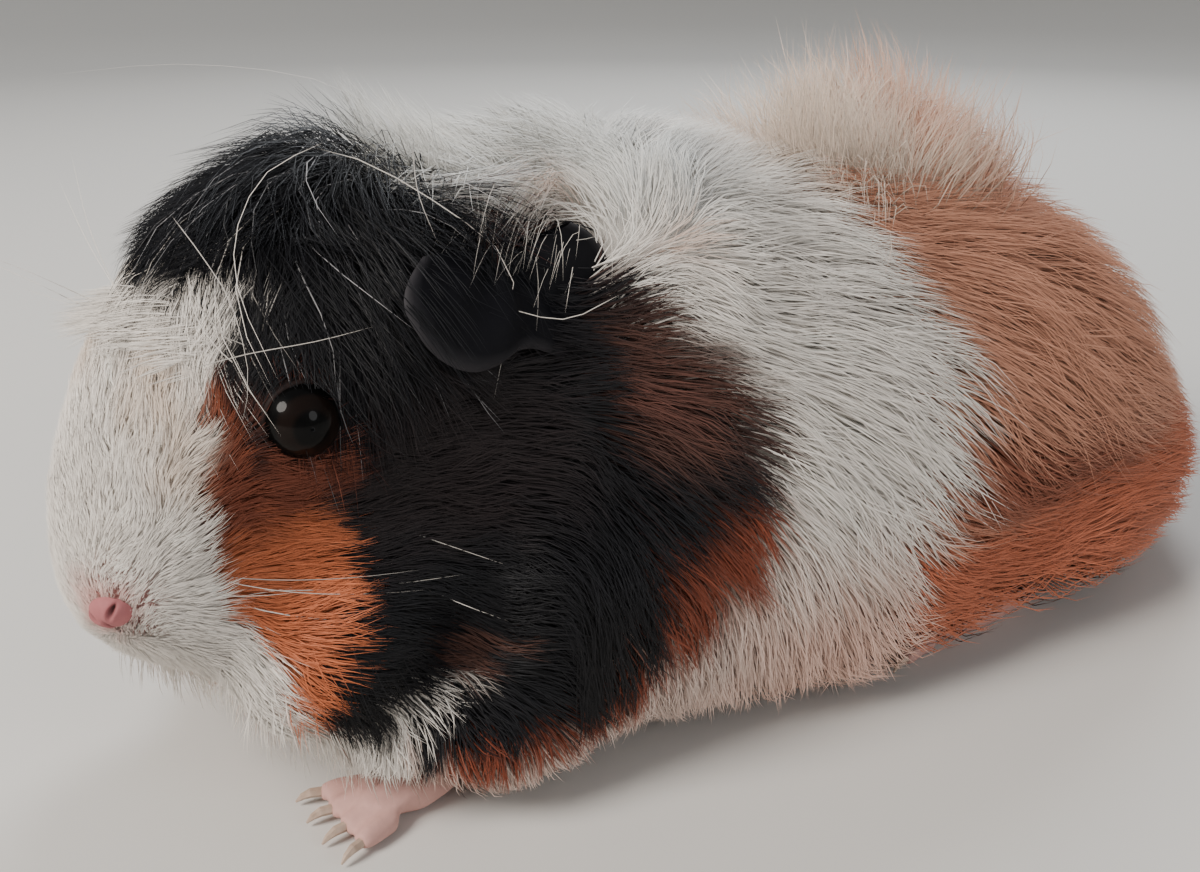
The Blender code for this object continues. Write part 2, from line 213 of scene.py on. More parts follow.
# The groom: places on the left side, with the lie of the hair, the coat's depth there, the hair's length and
# its width before FINENESS. The right side mirrors them. The nose's and the head's rows are in the head's
# frame, and the nose's are bent with the muzzle.
NOSE_GROOM = [
    ((1.8, -3, 3), (1, 5, 8), 0.6, 1.6, 0.2),
    ((-5, -1, 2), (-5, 7, 5), 1.2, 2.6, 0.22),
    ((8, 0, 2), (6, 6, 4), 1.4, 3, 0.22),
    ((2, 2, 8), (1, 7, 6), 1, 2.2, 0.2),
    ((3, -3, -3), (4, 2, -9), 1.4, 3.6, 0.22),
    ((0, -2, -11), (1, 3, -9), 1.8, 6, 0.24),
    ((-9, 0, -7), (-7, 5, -5), 1.8, 5.5, 0.24),
    ((10, 1, -7), (6, 4, -7), 1.8, 6, 0.24),
]
HEAD_GROOM = [
    # The muzzle and the forehead.
    ((9, 4, 9), (2, 7, 7), 1.6, 3.6, 0.22),
    ((5, 10, 15), (0, 8, 5), 1.8, 4.4, 0.24),
    ((10, 17, 17), (2, 9, 4), 2.2, 4.8, 0.24),
    ((14, 19, 14), (4, 9, 1), 2.4, 5.2, 0.24),
    ((7, 27, 22), (-1, 9, 3), 2.4, 4.6, 0.24),
    ((3, 35, 26), (-1, -5, 8), 3.5, 8, 0.24),
    ((14, 27, 18), (-4, 8, 4), 1.8, 4.2, 0.24),
    # The whisker pad, the chin and the throat.
    ((12, 6, 8), (6, 8, -1), 2.4, 4.6, 0.23),
    ((14, 6, 1), (6, 6, -5), 2.8, 5.5, 0.24),
    ((14, 4, -6), (5, 2, -8), 2.2, 7, 0.25),
    ((4, 2, -20), (1, 5, -8.5), 2, 9, 0.26),
    ((0, 24, -27), (0, 10, -1), 3.5, 11, 0.34),
    # The orange cheek.
    ((18, 18, 4), (3, 9, -4), 2.4, 8, 0.28),
    ((20, 18, -2), (3, 8, -6), 3, 9, 0.3),
    ((20, 13, -7), (7, 6, -6), 3.5, 10, 0.3),
    ((22, 7, -10), (7, 3, -6), 3, 11, 0.3),
    # Round the eye.
    ((19, 25, 6), (3, 3, -9), 1.2, 4, 0.24),
    ((17, 25, 11), (1, 9, 4), 1.2, 4, 0.24),
    ((20, 35, 13), (1, 9, 3), 1.3, 4, 0.24),
    ((22, 38, 5), (2, 10, -2), 1.3, 5, 0.25),
    # The cheek, the jaw, the brow and the temple.
    ((23, 42, 0), (2, 9, -3), 3, 8, 0.3),
    ((22, 29, -7), (2, 8, -6), 3, 9, 0.3),
    ((25, 25, -13), (5, 5, -6), 4, 11, 0.32),
    ((30, 24, -20), (2, 3, -10), 3.5, 12, 0.32),
    ((30, 15, -18), (2, 3, -10), 3, 12, 0.32),
    ((15, 38, 20), (0, 9, 4), 3, 7, 0.28),
    ((21, 46, 12), (2, 9, -3), 3, 8, 0.3),
    # The forelock.
    ((6, 46, 27), (3, -7, 8), 8, 15, 0.3),
    ((4, 58, 28), (1, -10, 4), 14, 26, 0.32),
    ((17, 58, 20), (6, -7, -5), 9, 22, 0.32),
    ((24, 58, 12), (5, -3, -9), 4, 16, 0.32),
]
BODY_GROOM = [
    # The crest.
    ((6, -74, 92), (1, -10, 1), 16, 30, 0.36),
    ((20, -74, 83), (3, -8, -6), 11, 24, 0.36),
    ((14, -58, 89), (3, -9, -3), 11, 22, 0.38),
    ((0, -50, 91), (0, -8, 3), 11, 15, 0.38),
    ((23, -57, 81), (-5, -8, 3), 8, 12, 0.36),
    ((21, -64, 81), (3, -8, -6), 8, 16, 0.36),
    # Behind the ear, and the shoulder.
    ((30, -56, 72), (1, 9, 3), 6, 13, 0.38),
    ((33, -55, 66), (3, 10, 0), 7, 16, 0.38),
    ((35, -56, 61), (3, 9, -1), 8, 18, 0.4),
    ((41, -46, 56), (4, 8, -4), 8, 18, 0.4),
    ((40, -56, 49), (4, 8, -6), 8, 18, 0.4),
    ((40, -64, 47), (5, 1, -8), 8, 18, 0.4),
    ((45, -70, 31), (0, -2, -9), 7, 16, 0.38),
    ((45, -55, 38), (1, 5, -9), 8, 16, 0.4),
    ((31, -75, 55), (4, 9, 1), 5, 12, 0.38),
    ((39, -80, 32), (6, 7, 2), 5, 12, 0.38),
    # The whorl behind the shoulder.
    ((30, -40, 76), (5, 8, -4), 6, 11, 0.38),
    ((24, -44, 81), (-5, 3, 8), 6, 11, 0.38),
    ((33, -47, 70), (6, 3, -8), 6, 11, 0.38),
    # The white band, down to the belly.
    ((0, -28, 88), (1, 8, 3), 10, 15, 0.4),
    ((31, -27, 76), (5, 8, -4), 9, 18, 0.42),
    ((40, -30, 65), (3, 8, -5), 9, 19, 0.42),
    ((45, -30, 54), (4, 6, -8), 9, 20, 0.42),
    ((48, -19, 49), (3, 6, -8), 9, 21, 0.42),
    ((48, -33, 37), (2, 4, -9), 8, 20, 0.42),
    ((50, -26, 29), (1, 4, -9), 8, 20, 0.42),
    ((48, -36, 20), (0, 2, -10), 7, 16, 0.42),
    ((45, -48, 17), (0, 1, -10), 7, 14, 0.4),
    # The rump.
    ((20, -4, 80), (5, 5, 5), 8, 16, 0.42),
    ((29, 2, 76), (6, 7, -3), 12, 30, 0.46),
    ((44, 5, 62), (4, 7, -6), 12, 34, 0.48),
    ((46, 15, 54), (4, 6, -7), 12, 36, 0.48),
    ((50, 2, 42), (3, 4, -8), 9, 28, 0.46),
    ((46, 34, 52), (2, 7, -7), 13, 38, 0.48),
    ((20, 30, 76), (2, 10, -2), 13, 36, 0.48),
    ((16, 84, 50), (1, 6, -8), 14, 34, 0.48),
    ((10, 100, 26), (1, 2, -10), 12, 26, 0.46),
    # The thigh.
    ((53, -4, 15), (1, 9, 3), 7, 16, 0.42),
    ((56, 17, 22), (0, 10, 2), 8, 20, 0.44),
    ((53, 48, 24), (-2, 10, 0), 8, 18, 0.44),
    ((53, -8, 8), (1, 10, -3), 5, 10, 0.42),
    ((44, 60, 12), (-2, 7, -7), 6, 13, 0.42),
    # The tuft on the hips.
    ((4, 4, 84), (-2, 2, 10), 13, 24, 0.42),
    ((5, 18, 90), (0, 4, 10), 18, 32, 0.42),
    ((6, 36, 84), (0, 10, 3), 15, 34, 0.44),
    # The chest, the front leg and the underside.
    ((6, -93, 10), (2, 2, -10), 3.5, 12, 0.34),
    ((36, -93, 13), (1, -2, -9), 3.5, 11, 0.34),
    ((26, -96, 7), (0, -3, -9), 1.5, 5, 0.3),
    ((10, -40, 1), (0, 10, 0), 4, 10, 0.5),
    ((10, 60, 2), (0, 10, 0), 4, 12, 0.5),
]
COARSE = 4  # voxels between the points where the groom is worked out
GROOM_REACH = 4.0  # mm round a guide where its share levels off
FINENESS = 0.54  # scales the widths of the groom


def groom_rows():
    """Place, direction and numbers of every guide, both sides."""
    places, numbers = [], []
    for rows in (NOSE_GROOM, HEAD_GROOM, BODY_GROOM):
        for place, lie, depth, length, width in rows:
            for side in (1, -1):
                spot = np.array(place, float) * (side, 1, 1)
                turn = unit(np.array(lie, float)) * (side, 1, 1)
                if rows is NOSE_GROOM:
                    spot, turn = bent(spot), bent(turn, True)
                if rows is not BODY_GROOM:
                    spot, turn = on_head(spot), on_head(turn, True)
                places.append(spot)
                numbers.append((*turn, depth, length, width * FINENESS))
    return np.array(places), np.array(numbers, np.float32)


def groom_volumes():
    """The groom's numbers, blended between the guides and spread over the whole volume."""
    places, numbers = groom_rows()
    ticks = [np.arange(0, size + COARSE, COARSE) for size in SHAPE]
    x, y, z = np.meshgrid(*ticks, indexing="ij")
    cells = np.stack((x, y, z), -1).reshape(-1, 3) * VOXEL + LOW
    gap = ((cells[:, None, :] - places[None]) ** 2).sum(2) + GROOM_REACH**2
    share = gap**-2.0
    share /= share.sum(1, keepdims=True)
    volume = (share @ numbers).reshape(*x.shape, -1)
    for axis, size in enumerate(SHAPE):
        spots = np.arange(size) / COARSE
        base = spots.astype(int)
        part = (spots - base).reshape([-1 if i == axis else 1 for i in range(4)])
        volume = np.take(volume, base, axis) * (1 - part) + np.take(volume, base + 1, axis) * part
    return volume.astype(np.float32)


def ball(centre, radius):
    """The signed distance from a ball, over the whole volume."""
    x, y, z = (np.arange(size) * VOXEL + low for size, low in zip(SHAPE, LOW))
    square = (x - centre[0])[:, None, None] ** 2 + (y - centre[1])[None, :, None] ** 2
    return np.sqrt(square + (z - centre[2])[None, None, :] ** 2) - radius


HAIRY = ["forelock", "head", "neck", "trunk", "rump", "hip_tuft", "nose", "eye_left", "eye_right"]
HAIRY += ["leg_front_left", "leg_front_right", "leg_hind_left", "leg_hind_right"]
coat_field = coat_volume(HAIRY)
groom = groom_volumes()
skin_field = blur(coat_field + groom[..., 3], 3)
for side in (1, -1):
    eye = on_head(np.array(EYE_PLACE) * (side, 1, 1))
    skin_field = np.maximum(skin_field, -ball(eye, EYE_RADIUS + 0.1))
slope = np.stack(np.gradient(skin_field, VOXEL), -1).astype(np.float32)
EAR_COVER = 1.4  # how far off the ears the hair that falls over them lies
over_ears = blur(np.minimum(skin_field, coat_volume(["ear_left", "ear_right"]) - EAR_COVER), 2)
over_slope = np.stack(np.gradient(over_ears, VOXEL), -1).astype(np.float32)


# Markings: each patch is painted over the ones before it, and gives how far inside it a place lies, in
# millimetres. A hair takes its colour from a place beyond its middle, and the skin from its own place.
WHITE = (0.88, 0.82, 0.75)
CREAM = (0.78, 0.62, 0.50)
PINKISH = (0.80, 0.62, 0.54)
FLANK = (0.80, 0.52, 0.42)
ASH = (0.70, 0.70, 0.67)
BLUSH = (0.80, 0.52, 0.47)
TAN = (0.64, 0.43, 0.33)
RUMP = (0.60, 0.285, 0.185)
# Painted shade: a darker band low on the rump, just above the thigh.
RUMP_PAINTED_SHADE = (0.29, 0.095, 0.055)
THIGH = (0.52, 0.155, 0.08)
ORANGE = (0.58, 0.165, 0.07)
EMBER = (0.25, 0.06, 0.03)
RUST = (0.19, 0.052, 0.028)
BRONZE = (0.14, 0.055, 0.04)
BROWN = (0.085, 0.038, 0.028)
DUSK = (0.020, 0.014, 0.015)
BLACK = (0.006, 0.006, 0.008)
EDGE = 1.4  # mm over which one marking gives way to the next, where a patch names no width of its own


def oval(along, across, half_length, half_width, slope_=0.0):
    """How far inside an oval whose long axis is at a slope."""
    turn = math.radians(slope_)
    u = along * math.cos(turn) + across * math.sin(turn)
    v = across * math.cos(turn) - along * math.sin(turn)
    return half_width - np.hypot(u * half_width / half_length, v)


def least(*limits):
    """How far inside all of these limits."""
    return np.minimum.reduce(np.broadcast_arrays(*limits))


def body_patches(x, y, z):
    """The markings behind the head, with a band of painted shade low on the rump: colour, how far inside in
    mm, and how wide the edge is.
    """
    right = np.where(x < 0, 1.0, 0.0)
    side = np.abs(x)
    edge = np.interp(z, (8, 19, 30, 37, 47, 54, 59, 70, 80), (-13, -17, -12, -8, -4, -3, -4, -7.5, -9))
    behind = y - edge - 9 * right
    yield PINKISH, 22 - z, 30
    yield FLANK, least(24 - z, (y + 44) * 0.8), 30
    yield ASH, least(z - 80, -30 - y), 14
    for spot in ((29, -45, 77), (17, -62, 86), (21, -10, 81)):
        yield TAN, 3.5 - np.sqrt((side - spot[0]) ** 2 + (y - spot[1]) ** 2 + (z - spot[2]) ** 2), 9
    yield RUMP, behind
    # Painted shade low on the rump, just above the thigh.
    yield RUMP_PAINTED_SHADE, least(oval(y - 14, z - 32, 34, 7, -6), behind - 1), 7
    yield THIGH, least(27 - z + y * 0.12, behind), 4
    yield CREAM, least(oval(y - 4, z - 92, 24, 15), 14 - side), 7
    lean = 5 * right
    shoulder = (1 - np.hypot((y + 75 + lean) / 36.5, (z - 50 + lean) / 31)) * 30
    shoulder = least(shoulder, np.interp(z, (50, 57, 61, 69, 76, 85), (-34, -43, -49, -52, -58, -66)) - y)
    yield BROWN, least(shoulder, side - 10)
    yield BLACK, least(shoulder - 1.5, side - 10), 3
    yield BROWN, oval(y + 56 + lean, z - 57, 15, 10, -20), 7
    yield BRONZE, oval(y + 56 + lean, z - 56, 8, 4, -20), 8
    yield EMBER, least(oval(y + 53 + lean, z - 28, 17, 6, 39), side - 28), 4
    low = np.interp(y, (-94, -89, -83, -77, -71, -66, -58), (10.5, 12.5, 13.5, 14, 13.5, 15.5, 22))
    yield EMBER, least(z - low + 4.5, -61 - y, y + 92, side - 20), 3
    yield BLACK, least(z - low, -60 - y, y + 94.5, side - 20), 2
    yield WHITE, np.where(z < 32, -94.5 - y, -9)
    yield PINKISH, np.where(z < 20, 22 - side, -9), 5


def head_patches(points):
    """The markings of the head, its forelock and the crest behind it."""
    y, z = points[:, 1], points[:, 2]
    hx, hy, hz = to_head(points).T
    side = np.abs(hx)
    yield WHITE, least(hz + 29.3, 17 - hy, side - 24)
    yield BROWN, least(hz + 29.0, 24 - hy, side - 26, hy - 15)
    muzzle = np.interp(hz, (-20, -10, -8, -5, 3, 8, 13, 18, 24), (-3, 5, 6.2, 6.2, 11.5, 15, 20.5, 24.8, 30))
    muzzle -= hy
    jaw = np.interp(side, (8, 17, 23, 25, 30), (-11, -14.6, -18, -25, -27))
    under = least(hz - jaw + np.maximum(hy - 24, 0), 66 - hy, -63 - y)
    black = np.minimum(-muzzle, under)
    crest = -71 - 0.75 * (z - 77.5) - y
    yield BLACK, np.where(z > 66, np.minimum(crest, -muzzle), black)
    yield DUSK, least(black - 2, oval(hy - 38, hz + 8, 22, 11, -20)), 9
    width = np.interp(hz, (-20, -16, -13, -9, -5, 1, 7, 13, 20), (4, 5.5, 11, 15, 17, 14.5, 7.5, 5, 1.5))
    stripe = least(-muzzle, width + muzzle, side - 7)
    yield ORANGE, least(stripe, hz - jaw + 1)
    yield RUST, least(stripe + 1, hz - 1), 7
    yield RUST, 6.5 - np.sqrt((side - 19) ** 2 + (hy - 27) ** 2 + (hz - 4) ** 2), 5
    blaze = least(13.0 - side, 34.5 + 0.3 * side - hy)
    yield WHITE, np.maximum(least(muzzle, hz - jaw + 40), np.where(hz > 10, blaze, -9))
    yield CREAM, least(muzzle + 1, 6 - muzzle, hz - 9, side - 3, 20 - side) - 2, 8
    yield BLUSH, 4.5 - np.sqrt((hx - 4.5) ** 2 + (hy + 0.5) ** 2 + (hz - 4) ** 2), 6


def markings(points, ragged=1.3):
    """The coat's colour at places on its surface, in linear light."""
    wander = ragged * (waves(points, 6.0, 3) + 0.6 * waves(points, 2.5, 4))
    colour = np.tile(WHITE, (len(points), 1))
    for paint, inside, *width in (*body_patches(*points.T), *head_patches(points)):
        half = (width[0] if width else EDGE) / 2
        share = ease(-half, half, inside + wander)[:, None]
        colour = colour * (1 - share) + np.array(paint) * share
    return colour


# Meshes.
COLOUR = "coat_colour"


def new_mesh(name, points, triangles):
    """A smooth mesh object in the row frame."""
    mesh = bpy.data.meshes.new(name)
    mesh.vertices.add(len(points))
    mesh.vertices.foreach_set("co", metres(points).astype(np.float32).ravel())
    mesh.loops.add(triangles.size)
    mesh.loops.foreach_set("vertex_index", triangles.ravel().astype(np.int32))
    mesh.polygons.add(len(triangles))
    mesh.polygons.foreach_set("loop_start", np.arange(0, triangles.size, 3, dtype=np.int32))
    mesh.update(calc_edges=True)
    mesh.polygons.foreach_set("use_smooth", np.ones(len(triangles), bool))
    mesh.validate()
    obj = bpy.data.objects.new(name, mesh)
    bpy.context.scene.collection.objects.link(obj)
    return obj


def tint(obj, colours):
    """Gives each point of a mesh its own colour."""
    layer = obj.data.color_attributes.new(COLOUR, "FLOAT_COLOR", "POINT")
    full = np.ones((len(colours), 4), np.float32)
    full[:, :3] = colours
    layer.data.foreach_set("color", full.ravel())


def largest_island(points, quads):
    """The biggest connected piece of a mesh of quads."""
    label = np.arange(len(points))
    while True:
        lowest = label[quads].min(1)
        fresh = label.copy()
        np.minimum.at(fresh, quads.ravel(), np.repeat(lowest, 4))
        fresh = fresh[fresh]
        if (fresh == label).all():
            break
        label = fresh
    keep = label == np.bincount(label).argmax()
    new_index = np.cumsum(keep) - 1
    return points[keep], new_index[quads[keep[quads[:, 0]]]]


skin_points, skin_quads = largest_island(*surface(skin_field))


# Hair.
def scatter(density):
    """Random places on the skin, and how many. The density gives hairs a square millimetre at points."""
    a, b, c, d = (skin_points[skin_quads[:, i]] for i in range(4))
    area = np.linalg.norm(np.cross(c - a, d - b), axis=1) / 2
    middle = (a + b + c + d) / 4
    wanted = area * density(middle)
    number = (wanted + RANDOM.random(len(wanted))).astype(int)
    face = np.repeat(np.arange(len(number)), number)
    u, v = RANDOM.random((2, len(face), 1))
    places = (a[face] * (1 - u) + b[face] * u) * (1 - v) + (d[face] * (1 - u) + c[face] * u) * v
    return places, len(face)


def comb(roots, segments, length, layer, swerve, rise=1.8, field=skin_field, gradient=slope, lie=None):
    """The points of hairs that leave the skin, bend over, follow the coat's lie and end in their layer."""
    place = roots.copy()
    normal = unit(sample(gradient, place))
    points = [place - 0.6 * normal]
    height = np.zeros(len(roots))
    move = length / segments
    for step in range(1, segments + 1):
        depth = np.maximum(sample(field, place) - sample(coat_field, place), 0.4)
        wanted = layer * depth * (1 - (1 - step / segments) ** rise)
        climb = np.clip(wanted - height, -0.4 * move, 0.95 * move)
        along = lie(place) if lie else sample(groom, place)[:, :3]
        along = unit(along - (along * normal).sum(1, keepdims=True) * normal)
        along = along * np.cos(swerve)[:, None] + np.cross(normal, along) * np.sin(swerve)[:, None]
        place = place + along * np.sqrt(move**2 - climb**2)[:, None]
        height = height + climb
        raw = sample(gradient, place)
        size = np.maximum(np.linalg.norm(raw, axis=1), 0.3)
        normal = raw / size[:, None]
        place = place + normal * ((height - sample(field, place)) / size)[:, None]
        points.append(place)
    points = np.stack(points, 1)
    for _ in range(segments - 2):
        points[:, 1:-1] = (points[:, :-2] + 2 * points[:, 1:-1] + points[:, 2:]) / 4
    return points


def unkinked(hairs):
    """Which hairs bend softly and keep near the coat."""
    steps = unit(np.diff(hairs, axis=1))
    soft = ((steps[:, 1:] * steps[:, :-1]).sum(2) > 0.3).all(1)
    off = sample(coat_field, hairs.reshape(-1, 3)).reshape(len(hairs), -1)
    return soft & (off.max(1) < 7)


def strands(roots, segments, length, bearing, droop):
    """The points of free hairs: each sets off on a bearing and bends towards its droop."""
    place = roots - 0.6 * unit(sample(slope, roots))
    points = [place]
    for step in range(segments):
        place = place + unit(bearing + droop * step / segments) * (length / segments)[:, None]
        points.append(place)
    return np.stack(points, 1)


def clump(points, roots, spacing, pull):
    """Draws the ends of neighbouring hairs together into locks of about `spacing` hairs."""
    count = max(int(len(roots) / spacing), 1)
    chosen = RANDOM.choice(len(roots), count, replace=False)
    tree = kdtree.KDTree(count)
    for index, root in enumerate(roots[chosen]):
        tree.insert(root, index)
    tree.balance()
    leader = chosen[[tree.find(root)[1] for root in roots]]
    share = pull[:, None] * np.linspace(0, 1, points.shape[1])[None] ** 1.3
    return points + (points[leader] - points) * share[..., None]


FLATNESS = 0.55  # a hair's height, as a share of its width
ROUNDNESS = 0.55  # how far a hair's normals turn from the body's: less lights the coat more softly


def spindles(points, width):
    """Closed three-sided spindles, pointed at both ends: their vertices, triangles and normals."""
    hairs, rings = points.shape[0], points.shape[1] - 2
    ahead = unit(points[:, 2:] - points[:, :-2])
    up = unit(sample(slope, points[:, 1]))[:, None, :]
    across = unit(np.cross(ahead, up))
    over = np.cross(across, ahead)
    place = np.arange(1, rings + 1) / (rings + 1)
    swell = 0.5 * width[:, None] * (1 - 0.8 * np.clip((place - 0.35) / 0.65, 0, 1) ** 1.5)[None]
    verts = np.empty((hairs, rings * 3 + 2, 3))
    verts[:, 0], verts[:, -1] = points[:, 0], points[:, -1]
    normals = np.empty(verts.shape)
    normals[:] = up
    for index, (sideways, upwards) in enumerate(((-1.0, -0.5), (0.0, 1.0), (1.0, -0.5))):
        shift = across * sideways + over * (upwards * FLATNESS)
        verts[:, 1 + index : -1 : 3] = points[:, 1:-1] + shift * swell[..., None]
        normals[:, 1 + index : -1 : 3] = unit(up + ROUNDNESS * shift)
    tip = rings * 3 + 1
    faces = []
    for a, b in ((1, 2), (2, 3), (3, 1)):
        faces.append((0, b, a))
        for ring in range(0, 3 * (rings - 1), 3):
            faces += [(a + ring, b + ring, a + ring + 3), (b + ring, b + ring + 3, a + ring + 3)]
        faces.append((tip - 4 + a, tip - 4 + b, tip))
    faces = np.array(faces)[None] + (np.arange(hairs) * (tip + 1))[:, None, None]
    return verts.reshape(-1, 3), faces.reshape(-1, 3), normals.reshape(-1, 3)


BAKE_PATCH = 0.003
SPINE_FRONT = np.array((0.0, -92.0, 40.0))
SPINE_REAR = np.array((0.0, 72.0, 36.0))
SPINE_LENGTH, BODY_RADIUS = 164, 36


def unwrap(roots):
    """Where each root lies on the skin opened out along the belly, as turn about the spine and way on."""
    length = SPINE_REAR - SPINE_FRONT
    share = np.clip((roots - SPINE_FRONT) @ length / (length @ length), 0, 1)
    out = roots - SPINE_FRONT - share[:, None] * length
    lean = np.arctan2(out[:, 1], np.hypot(out[:, 0], out[:, 2]))
    turn = np.arctan2(out[:, 0], out[:, 2]) / (2 * math.pi)
    flat = np.stack((turn, share * SPINE_LENGTH + lean * BODY_RADIUS), 1)
    low, high = flat.min(0), flat.max(0)
    return 0.01 + 0.98 * (flat - low) / (high - low)


def bake_map(obj, spots, rings, corners):
    """The OFBake map: each hair is a patch at its root's place on the unwrap."""
    local = [(0.0, -0.5)]
    for ring in range(rings):
        local += [(s / 2 - 0.5, (ring + 1) / (rings + 1) - 0.5 + 0.1 * (s == 1)) for s in range(3)]
    local = np.array([*local, (0.0, 0.5)])
    spots = spots[:, None, :] * (1 - BAKE_PATCH) + BAKE_PATCH * (local[None] + 0.5)
    layer = obj.data.uv_layers.new(name="OFBake")
    layer.uv.foreach_set("vector", spots.reshape(-1, 2)[corners].astype(np.float32).ravel())


MOST_TRIANGLES = 190_000
REGIONS = (("head", "black_coat"), ("shoulder", "brown_coat"), ("trunk", "white_coat"),
           ("rump", "orange_coat"), ("tuft", "cream_coat"))


def region(roots):
    """Which of the regions each root lies in."""
    x, y, z = roots.T
    place = np.where(y > -3, 3, 2)
    place[np.hypot((y + 75) / 37, (z - 50) / 31) < 1] = 1
    place[to_head(roots)[:, 1] < 55] = 0
    place[(np.hypot(x, z - 90) < 24) & (np.abs(y - 18) < 26)] = 4
    return place


def add_hair(name, points, roots, width, colours):
    """Coat pieces, a region at a time, of hairs that all have the same number of segments, each darkened
    towards its root with painted shade.
    """
    rings = points.shape[1] - 2
    along = np.concatenate(([0], np.repeat(np.arange(1, rings + 1) / (rings + 1), 3), [1]))
    root_shade_mask = np.clip(1 - along * 1.6, 0, 1)[None]
    spots = unwrap(roots)
    regions = region(roots)
    for index, (where, slot) in enumerate(REGIONS):
        own = np.flatnonzero(regions == index)
        parts = math.ceil(len(own) * 6 * rings / MOST_TRIANGLES)
        for part in range(parts):
            chosen = own[part::parts]
            verts, faces, normals = spindles(points[chosen], width[chosen])
            piece = new_mesh(f"coat_{where}_{name}_{part + 1}", verts, faces)
            piece.data.normals_split_custom_set_from_vertices(normals.astype(np.float32))
            # Painted shade: each hair's colour is darkened towards its root, less so for pale hair, standing
            # in for the shade deep in the coat.
            pale = colours[chosen].mean(1)[:, None]
            dark = 1 - (0.42 - 0.40 * pale) * root_shade_mask
            tint(piece, (colours[chosen][:, None, :] * dark[..., None]).reshape(-1, 3))
            bake_map(piece, spots[chosen], rings, faces.ravel())
            piece.data.materials.append(FUR)
            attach(piece, "root")


def node(tree, kind, **values):
    """A new node of a material."""
    made = tree.nodes.new(kind)
    for key, value in values.items():
        setattr(made, key, value)
    return made


def plain(name, roughness, shine=0.5):
    """A new material, its node tree and its shader."""
    material = bpy.data.materials.new(name)
    material.use_nodes = True
    shader = material.node_tree.nodes["Principled BSDF"]
    shader.inputs["Roughness"].default_value = roughness
    shader.inputs["Specular IOR Level"].default_value = shine
    return material, material.node_tree, shader


def fine_noise(tree, scale):
    """Noise that is fixed to the object."""
    place = node(tree, "ShaderNodeTexCoord")
    noise = node(tree, "ShaderNodeTexNoise")
    noise.inputs["Scale"].default_value = scale
    tree.links.new(place.outputs["Object"], noise.inputs["Vector"])
    return noise.outputs["Fac"]


def fur_material(name, roughness, shine, mottle=0.10):
    """Hair or skin that takes its colours from the mesh, markings and painted shade and highlights alike,
    with a fine procedural mottle.
    """
    material, tree, shader = plain(name, roughness, shine)
    marking = node(tree, "ShaderNodeAttribute", attribute_name=COLOUR)
    ramp = node(tree, "ShaderNodeMapRange")
    ramp.inputs["To Min"].default_value = 1 - mottle
    ramp.inputs["To Max"].default_value = 1 + mottle
    mix = node(tree, "ShaderNodeVectorMath", operation="MULTIPLY")
    tree.links.new(fine_noise(tree, 900), ramp.inputs["Value"])
    tree.links.new(marking.outputs["Color"], mix.inputs[0])
    tree.links.new(ramp.outputs["Result"], mix.inputs[1])
    tree.links.new(mix.outputs["Vector"], shader.inputs["Base Color"])
    return material


LAYERS = 7.8  # how many hairs lie over one another


def coverage(points):
    """The density of hair that covers the skin LAYERS deep."""
    length, width = sample(groom, points)[:, 4:6].T
    down = -unit(sample(slope, points))[:, 2]
    hidden = ease(0.75, 0.95, down) * ease(12, 6, points[:, 2])
    return LAYERS * (1 - 0.8 * hidden) / (length * width)


# The bare parts of the skin: ears, eyelids, nose and paws. Each is points, triangles and colours.
EAR_ROOT = (24.0, 63.0, 2.0)
EAR_BACK = (0.0, 0.766, -0.643)
EAR_DOWN = (0.0, -0.643, -0.766)
EAR_RIM = [  # the turn from EAR_BACK to EAR_DOWN in degrees, the rim's distance, and how far out it stands
    (-15, 11, 4), (5, 16, 5), (26, 18.5, 6.5), (44, 19.5, 7.2), (56, 19.5, 7.5), (68, 15.5, 7.5),
    (86, 12, 7.2), (104, 11.6, 7), (120, 14, 7.4), (134, 16.5, 7.2), (148, 18, 6), (160, 18.3, 4.5),
    (172, 17.2, 2), (188, 12, 0),
]
EAR_ROWS = 14
EAR_TONE = np.array((0.004, 0.004, 0.006))
# Painted highlight: the ear's rim is given a lighter tone, as where light catches it.
EAR_RIM_HIGHLIGHT = np.array((0.034, 0.032, 0.036))
LID_TONE = np.array((0.020, 0.012, 0.011))
NOSE_TONE = np.array((0.40, 0.145, 0.15))
SNOUT_TONE = np.array((0.58, 0.28, 0.26))
PAW_TONE = np.array((0.58, 0.34, 0.30))


def spline(rows, steps):
    """A smooth curve through rows of numbers."""
    rows = np.array([2 * np.array(rows[0]) - rows[1], *rows, 2 * np.array(rows[-1]) - rows[-2]], float)
    made = []
    for a, b, c, d in zip(rows, rows[1:], rows[2:], rows[3:]):
        for t in np.arange(steps) / steps:
            made.append(((2 * b) + (c - a) * t + (2 * a - 5 * b + 4 * c - d) * t**2
                         + (3 * b - a - 3 * c + d) * t**3) / 2)
    return np.array([*made, rows[-2]])


def sheet_faces(rows, columns, closed=False):
    """Triangles over a grid of points, row by row."""
    index = np.arange(rows * columns).reshape(rows, columns)
    if closed:
        index = np.concatenate((index, index[:, :1]), 1)
    a, b, c, d = index[:-1, :-1], index[:-1, 1:], index[1:, 1:], index[1:, :-1]
    return np.concatenate((np.stack((a, b, c), -1).reshape(-1, 3), np.stack((a, c, d), -1).reshape(-1, 3)))


